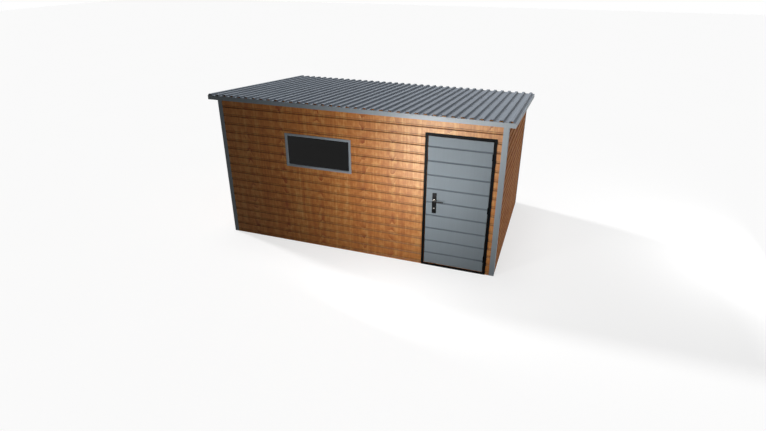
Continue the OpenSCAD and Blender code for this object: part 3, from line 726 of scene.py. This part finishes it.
def corner_rivets():
    """Domed rivets down both legs of each corner flashing, in the middle of every second board."""
    reach = CORNER_LEG - RIVET_INSET
    levels = FIRST_GROOVE + BOARD_PITCH * (np.arange(1, GROOVES - 1, 2) + BOARD_MIDDLE)
    for side, x_face, way_x in SIDES:
        for end, y_face, way_y in ENDS:
            z = levels[levels < under_roof(y_face + way_y * reach) - RIVET_INSET]
            leg_x = np.stack([0 * z + x_face + way_x * (reach - SHEET), 0 * z + y_face - way_y * SHEET, z], 1)
            leg_y = np.stack([0 * z + x_face - way_x * SHEET, 0 * z + y_face + way_y * (reach - SHEET), z], 1)
            studs(f"corner_rivets_{end}_{side}_a", leg_x, (0, -way_y, 0), (1, 0, 0), (0, 0, 1), RIVET, grey_coat,
                  sides=10)
            studs(f"corner_rivets_{end}_{side}_b", leg_y, (-way_x, 0, 0), (0, 1, 0), (0, 0, 1), RIVET, grey_coat,
                  sides=10)


roof_screws()
corner_rivets()


# ---- frames carried round an opening ----
def ring(name, lo, hi, face, profile, finish, stands_for=(), edge=0.0):
    """A mitred frame: each point (inset, depth) of a closed profile goes round the rectangle at that inset."""
    inset, depth = np.asarray(profile, float).T
    x = np.stack([lo.x + inset, hi.x - inset, hi.x - inset, lo.x + inset], 1)
    z = np.stack([lo.z + inset, lo.z + inset, hi.z - inset, hi.z - inset], 1)
    points = np.stack([x, face + depth[:, None] + 0 * x, z], -1)
    piece = make_piece(name, points, grid_quads(len(inset), 4, True, True), finish, stands_for)
    if edge:
        soften(piece, edge)


def slab(name, lo, hi, finish, stands_for=(), body="shed", edge=0.5 * MM):
    """A flat plate between two corners, its front outline carried back along Y, with its edges taken off."""
    outline = np.array([[lo[0], lo[2]], [hi[0], lo[2]], [hi[0], hi[2]], [lo[0], hi[2]]])
    points = np.stack([np.column_stack([outline[:, 0], np.full(4, y), outline[:, 1]]) for y in (lo[1], hi[1])])
    caps = [row_cap(0, 4), row_cap(1, 4)[::-1]]
    soften(make_piece(name, points, grid_quads(2, 4, False, True), finish, stands_for, body, caps), edge)


ring("window_profile_frame", window_lo, window_hi, window_lo.y, WINDOW_PROFILE, window_foil,
     ["window_frame"], edge=0.8 * MM)
ring("window_gasket", window_lo, window_hi, window_lo.y, GASKET, rubber)

glass_edge = WINDOW_BAR - GLASS_BITE
glass_lo = window_lo + Vector((glass_edge, GLASS_RECESS, glass_edge))
glass_hi = Vector((window_hi.x - glass_edge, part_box("window_glass")[1].y, window_hi.z - glass_edge))
slab("window_pane_outer", glass_lo, (glass_hi.x, glass_lo.y + PANE, glass_hi.z), glass, ["window_glass"])
slab("window_pane_inner", (glass_lo.x, glass_hi.y - PANE, glass_lo.z), glass_hi, glass)
spacer_depth = glass_hi.y - glass_lo.y - 2 * PANE
ring("window_spacer", glass_lo, glass_hi, glass_lo.y + PANE,
     [(0, 0), (SPACER_WIDTH, 0), (SPACER_WIDTH, spacer_depth), (0, spacer_depth)], rubber)

frame_depth = door_hi.y - door_lo.y
channel = [(0, frame_depth), (0, 0), (DOOR_BAR + DOOR_STEEL, 0), (DOOR_BAR + DOOR_STEEL, DOOR_STEEL),
           (DOOR_BAR, DOOR_STEEL), (DOOR_BAR, frame_depth),
           (DOOR_BAR - DOOR_STEEL, frame_depth), (DOOR_BAR - DOOR_STEEL, DOOR_STEEL),
           (DOOR_STEEL, DOOR_STEEL), (DOOR_STEEL, frame_depth)]
ring("door_frame_channel", door_lo, door_hi, door_lo.y, channel, black_coat, ["door_frame"],
     edge=0.7 * MM)
liner_lo, liner_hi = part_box("door_liner")
liner_depth = liner_hi.y - liner_lo.y
stop_depth = liner_depth - DOOR_STEEL
ring("door_reveal_liner", liner_lo, liner_hi, liner_lo.y,
     [(0, LINER_GAP), (DOOR_STEEL, LINER_GAP), (DOOR_STEEL, stop_depth), (0, stop_depth)], print_front,
     ["door_liner"], edge=0.4 * MM)
stop_inset = DOOR_STEEL + STOP_WIDTH
# The stop lip is coated black so that, seen through the gap round the leaf, it shows dark: painted shade.
ring("door_stop_lip", liner_lo, liner_hi, liner_lo.y,
     [(0, stop_depth), (stop_inset, stop_depth), (stop_inset, liner_depth), (0, liner_depth)], black_coat,
     edge=0.4 * MM)
bulb = np.linspace(0, math.pi, 12)
ring("door_bulb_seal", liner_lo, liner_hi, liner_lo.y + stop_depth,
     np.column_stack([SEAL_MIDDLE + SEAL_HALF * np.cos(bulb), -SEAL_RISE * np.sin(bulb)]), rubber)


# ---- door leaf ----
def leaf_piece():
    """The leaf's skin: rows follow the grooved line, and the outermost rows and columns fold back to the
    lining. A slot for the lock case, hidden by the plate, is left out."""
    middles = leaf_hi.z - LEAF_FIRST_GROOVE - LEAF_PITCH * np.arange(LEAF_GROOVES)[::-1]
    half = LEAF_GROOVE_HEIGHT / 2
    groove = np.array([[0, -half], [LEAF_GROOVE_DEPTH, -half / 2], [LEAF_GROOVE_DEPTH, half / 2], [0, half]])
    corners = (groove[None] + np.stack([0 * middles, middles], 1)[:, None]).reshape(-1, 2)
    line = bent_line(np.concatenate([[[0, leaf_lo.z]], corners, [[0, leaf_hi.z]]]), BEND)
    case_x = [shaft_x - LOCK_CASE_HALF, shaft_x + LOCK_CASE_HALF]
    case_z = [lock_lo.z - LOCK_CASE_HALF, shaft_z + 2 * LOCK_CASE_HALF]
    # Painted shade in each groove, fading out over a few mm onto the flat beside it.
    beside = np.concatenate([middles - half - LEAF_SHADE_SPREAD, middles + half + LEAF_SHADE_SPREAD])
    heights = np.unique(np.concatenate([line[:, 1], case_z, beside]))
    depth = np.interp(heights, line[:, 1], line[:, 0])
    off_groove = np.abs(heights[:, None] - middles).min(1) - half
    shade_share = np.clip(1 - off_groove / LEAF_SHADE_SPREAD, 0, 1)
    shade_share = np.concatenate([[0], shade_share, [0]])
    heights = np.concatenate([heights[:1], heights, heights[-1:]])
    back = leaf_hi.y - leaf_lo.y
    depth = np.concatenate([[back], depth, [back]])
    x = np.array([leaf_lo.x, leaf_lo.x, *case_x, leaf_hi.x, leaf_hi.x])
    folded = np.zeros(len(x), bool)
    folded[[0, -1]] = True
    y = leaf_lo.y + np.where(folded[:, None], back, depth[None])
    points = np.stack([x[:, None] + 0 * y, y, heights[None] + 0 * y], -1).reshape(-1, 3)
    quads = cut_hole(points, grid_quads(len(x), len(heights)), *zip(case_x, case_z))
    piece = make_piece("door_leaf_skin", points, quads, leaf_coat, ["door_leaf"], "door")
    mark_painted_shade(piece, shade_share[None] * ~folded[:, None])
    thicken(piece)


leaf_piece()


# ---- lock plates, levers and cylinder ----
def lock_plate(name, y_seat, y_face, stands_for=()):
    """A plate with round corners and a domed rim: its outline shrinks by the rim's curve as it rises."""
    turn = np.linspace(0, math.pi / 2, 7)
    quarter = np.concatenate([turn + k * math.pi / 2 for k in range(4)])
    left, right = plates_lo.x + PLATE_CORNER, plates_hi.x - PLATE_CORNER
    low, high = plates_lo.z + PLATE_CORNER, plates_hi.z - PLATE_CORNER
    rim = np.linspace(0, math.pi / 2, 5)
    shrink = np.concatenate([[0], PLATE_DOME * (1 - np.cos(rim))])
    rise = np.concatenate([[0], abs(y_face - y_seat) - PLATE_DOME * (1 - np.sin(rim))])
    radius = PLATE_CORNER - shrink[:, None]
    x = np.repeat([right, left, left, right], len(turn)) + radius * np.cos(quarter)
    z = np.repeat([high, high, low, low], len(turn)) + radius * np.sin(quarter)
    y = y_seat + np.sign(y_face - y_seat) * rise[:, None] + 0 * x
    rows, cols = x.shape
    front = row_cap(rows - 1, cols)
    make_piece(name, np.stack([x, y, z], -1), grid_quads(rows, cols, False, True), black_handle,
               stands_for, "door", [front if y_face < y_seat else front[::-1]])


def lever_grip(name, y_plate, y_grip, stands_for=()):
    """A lever: an ellipse carried from the plate along the shaft, round the elbow and out to a rounded tip."""
    way = 1 if y_grip > y_plate else -1
    bend = np.linspace(0, math.pi / 2, 9)
    reach = abs(y_grip - y_plate)
    neck = np.array([[0, 0], [0, 0.5 * (reach - ELBOW)]])
    elbow = np.column_stack([ELBOW * (1 - np.cos(bend)), reach - ELBOW + ELBOW * np.sin(bend)])
    tip = np.sin(np.linspace(0, math.pi / 2, 6))
    grip_end = LEVER_REACH - GRIP_HEIGHT
    out = np.concatenate([np.linspace(ELBOW * 2, grip_end, 4), grip_end + GRIP_HEIGHT * tip[1:]])
    path = np.concatenate([neck, elbow, np.column_stack([out, np.full(len(out), reach)])])
    ahead = np.gradient(path, axis=0)
    ahead /= np.linalg.norm(ahead, axis=1)[:, None]
    share = np.clip(path[:, 0] / (ELBOW * 1.5), 0, 1)
    close = np.ones(len(path))
    close[-len(tip):] = np.sqrt(np.clip(1 - tip ** 2, 0.02, 1))
    thick = (SHAFT_RADIUS + share * (GRIP_THICK - SHAFT_RADIUS)) * close
    tall = (SHAFT_RADIUS + share * (GRIP_HEIGHT - SHAFT_RADIUS)) * close
    angle = np.linspace(0, 2 * math.pi, LEVER_SIDES, endpoint=False)
    side = np.column_stack([-ahead[:, 1], ahead[:, 0]])
    flat = path[:, None] + (thick[:, None] * np.cos(angle))[..., None] * side[:, None]
    z = shaft_z + tall[:, None] * np.sin(angle)
    points = np.stack([shaft_x + flat[..., 0], y_plate + way * flat[..., 1], z], -1)
    rows, cols = z.shape
    make_piece(name, points, grid_quads(rows, cols, False, True), black_handle, stands_for, "lever",
               [row_cap(rows - 1, cols)], smooth=True)


def turned(name, centre, profile, stands_for=(), hollow=False):
    """A turned nickel piece: each point (radius, place along Y) goes round the axis through centre. A hollow one
    joins its first and last points, and a solid one is capped."""
    radius, place = np.asarray(profile, float).T
    angle = np.linspace(0, 2 * math.pi, TURNED_SIDES, endpoint=False)
    x = radius[:, None] * np.cos(angle)
    z = radius[:, None] * np.sin(angle)
    points = np.stack([x, place[:, None] + 0 * x, z], -1) + np.asarray(centre)
    rows, cols = x.shape
    caps = [] if hollow else [row_cap(0, cols), row_cap(rows - 1, cols)[::-1]]
    make_piece(name, points, grid_quads(rows, cols, hollow, True), nickel, stands_for, "door", caps)


lock_plate("lock_plate_outer", leaf_lo.y, plates_lo.y, ["handle_plates"])
lock_plate("lock_plate_inner", leaf_hi.y, plates_hi.y)
lever_grip("lever_outer", plates_lo.y + LEVER_SINK, lever_lo.y + GRIP_INSET, ["lever_handle"])
lever_grip("lever_inner", plates_hi.y - LEVER_SINK, lever_hi.y - GRIP_INSET)
lock_x, lock_z = (lock_lo.x + lock_hi.x) / 2, (lock_lo.z + lock_hi.z) / 2
lock_length, lock_radius = lock_hi.y - lock_lo.y, (lock_hi.x - lock_lo.x) / 2
half_lock = [(PLUG_RADIUS, PLUG_SINK), (PLUG_RIM, 0), (lock_radius - LOCK_CHAMFER, 0), (lock_radius, LOCK_CHAMFER)]
turned("lock_cylinder_body", (lock_x, lock_lo.y, lock_z),
       half_lock + [(radius, lock_length - depth) for radius, depth in half_lock[::-1]], ["lock_cylinder"])
for side, y_plate, y_lock, way in (("outer", plates_lo.y, lock_lo.y, -1), ("inner", plates_hi.y, lock_hi.y, 1)):
    turned("lever_ring_" + side, (shaft_x, y_plate, shaft_z),
           [(RING_BORE, -RING_SINK * way), (RING_RADIUS, -RING_SINK * way),
            (RING_RADIUS, (RING_RISE - RING_DOME) * way), (RING_RADIUS - RING_DOME, RING_RISE * way),
            (RING_BORE, RING_RISE * way)], hollow=True)
    # The keyway is a thin near-black sheet just off the cylinder's face: painted shade for the dark slot.
    slab("lock_keyway_" + side, (lock_x - KEYWAY_HALF, y_lock - KEYWAY_RISE, lock_z - KEYWAY_REACH),
         (lock_x + KEYWAY_HALF, y_lock + KEYWAY_RISE, lock_z + KEYWAY_REACH / 2), rubber,
         body="door", edge=0.02 * MM)


# ---- CAD nodes that keep their shape ----
TUBES = ["base_front", "base_back", "base_left", "base_right", "post_front_left", "post_front_right",
         "post_back_left", "post_back_right", "door_posts", "door_head_rail", "window_studs", "window_rails",
         "wall_studs", "top_rails", "rafter_left", "rafter_middle", "rafter_right", "roof_purlins"]


def keep_node(node, finish, edge=0.0):
    """Gives a CAD node its finish, and rounds its edges after a weld joins its loose triangles."""
    piece = frame["nodes"][node]
    piece.data.materials.clear()
    piece.data.materials.append(finish)
    if edge:
        piece.modifiers.new("join", "WELD").merge_threshold = 0.01 * MM
        soften(piece, edge)


for tube in TUBES:
    keep_node(tube, zinc_tube, 0.6 * MM)
keep_node("door_lining", print_front)
keep_node("hinge_fixed", black_coat, 0.4 * MM)
keep_node("hinge_moving", black_coat, 0.4 * MM)


# ---- floor, light and camera ----
def seen_ray(tree):
    """1 for rays from the camera, a mirror or glass, and 0 for the rest."""
    path = add(tree, "LightPath")
    seen = path.outputs["Is Camera Ray"]
    for ray in ("Is Glossy Ray", "Is Transmission Ray"):
        seen = add(tree, "Math", {0: seen, 1: path.outputs[ray]}, operation="MAXIMUM")
    return seen


def floor_material():
    """Pale painted floor, faintly mottled: near white to the camera and in reflections, darker for the light that
    it throws back, with the shed's shadow on it."""
    material, tree, place = new_material("pale_floor")
    mottle = add(tree, "TexNoise", {"Vector": place, "Scale": 0.6, "Detail": 2.0})
    tone = add(tree, "MapRange", {"Value": mottle, "To Min": 0.98, "To Max": 1.02})
    shown, bounced = [add(tree, "VectorMath", {0: linear(grey)[:3], "Scale": tone}, operation="SCALE")
                      for grey in (FLOOR_SHOWN, FLOOR_BOUNCE)]
    lit = add(tree, "BsdfDiffuse", {"Color": shown})
    glow = add(tree, "Emission", {"Color": (1, 1, 1, 1), "Strength": FLOOR_GLOW})
    both = add(tree, "AddShader", {0: lit, 1: glow})
    dull = add(tree, "BsdfDiffuse", {"Color": bounced})
    mix = add(tree, "MixShader", {0: seen_ray(tree), 1: dull, 2: both})
    add(tree, "OutputMaterial", {"Surface": mix})
    return material


def studio_floor():
    """A flat square under the shed, part of the stage."""
    mesh = bpy.data.meshes.new("floor")
    corners = [(-FLOOR_HALF, -FLOOR_HALF, 0), (FLOOR_HALF, -FLOOR_HALF, 0), (FLOOR_HALF, FLOOR_HALF, 0),
               (-FLOOR_HALF, FLOOR_HALF, 0)]
    mesh.from_pydata(corners, [], [row_cap(0, 4)])
    mesh.materials.append(floor_material())
    put("floor", mesh)


def studio_world():
    """White behind the shed for camera, mirror and glass rays, and a soft even fill for the rest."""
    world = bpy.data.worlds.new("studio")
    bpy.context.scene.world = world
    world.use_nodes = True
    tree = world.node_tree
    tree.nodes.clear()
    fill = add(tree, "Background", {"Color": FILL_TINT, "Strength": FILL_LEVEL})
    white = add(tree, "Background", {"Color": (1, 1, 1, 1), "Strength": 1.0})
    mix = add(tree, "MixShader", {0: seen_ray(tree), 1: fill, 2: white})
    add(tree, "OutputWorld", {"Surface": mix})


def panes_in_the_dark():
    """A set of the window panes, which the soft boxes leave out: so near the wall, the glass would mirror them
    as hard white patches."""
    left_out = bpy.data.collections.new("panes_in_the_dark")
    for name in ("window_pane_outer", "window_pane_inner"):
        left_out.objects.link(bpy.data.objects[name])
    for entry in left_out.collection_objects:
        entry.light_linking.link_state = "EXCLUDE"
    return left_out


def lamp(name, kind, place, aim, energy, sheen_only=False, **settings):
    """A lamp that looks from its place to its aim. A soft box is a rectangle that leaves out the window panes. A
    lamp for sheen only shows as a highlight and adds no other light."""
    data = bpy.data.lights.new(name, kind)
    data.energy = energy
    if kind == "AREA":
        data.shape = "RECTANGLE"
    for key, value in settings.items():
        setattr(data, key, value)
    made = put(name, data)
    made.location = place
    made.rotation_mode = "QUATERNION"
    made.rotation_quaternion = (Vector(aim) - Vector(place)).to_track_quat("-Z", "Y")
    made.visible_camera = False
    made.visible_diffuse = not sheen_only
    if kind == "AREA":
        made.light_linking.receiver_collection = dark_panes


studio_floor()
studio_world()
dark_panes = panes_in_the_dark()
# High and from the left, a little behind: it lights the roof and throws the shadow to the right.
lamp("key_from_left", "SUN", (-7.4, 2.1, 5.0), (0, 0, 0), 2.9, angle=math.radians(6))
# A soft box in front of the door side, so that the light falls off along the front.
lamp("soft_box_front", "AREA", (0.62, y_front - 1.62, 1.15), (1.1, y_front, 1.35), 27.0, size=0.4, size_y=1.2)
# A smaller one, higher and further right, for the trims and the upper boards.
lamp("soft_box_right", "AREA", (1.6, y_front - 1.6, 1.9), (1.6, y_front, 1.8), 9.5, size=0.4, size_y=0.4)
# A broad low one beside the right wall, below the roof, so that this side isn't left in the dark.
lamp("soft_box_side", "AREA", (x_right + 3.6, 0.2, 1.0), (x_right, 0.2, 1.0), 43.0, size=1.4, size_y=1.2)
# Two for the broad satin highlight that the film and the trims carry beside the door.
lamp("sheen_box_front", "AREA", (0.75, y_front - 1.62, 1.15), (1.1, y_front, 1.3), 98.0, sheen_only=True,
     size=0.7, size_y=1.2)
lamp("sheen_box_right", "AREA", (1.85, y_front - 1.6, 1.7), (1.85, y_front, 1.8), 13.0, sheen_only=True,
     size=0.5, size_y=0.5)
# A weak light from nearly straight above the roof.
lamp("soft_top", "SUN", (-0.5, 0.8, 7.0), (0, 0, 0), 1.05, angle=math.radians(25))

CAMERA_PLACE = Vector((2.581, -7.378, 3.841))
CAMERA_YAW = math.radians(19.35)
CAMERA_PITCH = math.radians(26.25)
camera_data = bpy.data.cameras.new("camera")
camera_data.lens = 24.75
camera_data.sensor_width = 36.0
camera = put("camera", camera_data)
camera.location = CAMERA_PLACE
camera.rotation_mode = "QUATERNION"
camera.rotation_quaternion = Vector((-math.sin(CAMERA_YAW) * math.cos(CAMERA_PITCH),
                                     math.cos(CAMERA_YAW) * math.cos(CAMERA_PITCH),
                                     -math.sin(CAMERA_PITCH))).to_track_quat("-Z", "Y")
bpy.context.scene.camera = camera
bpy.context.scene.view_settings.view_transform = "Standard"
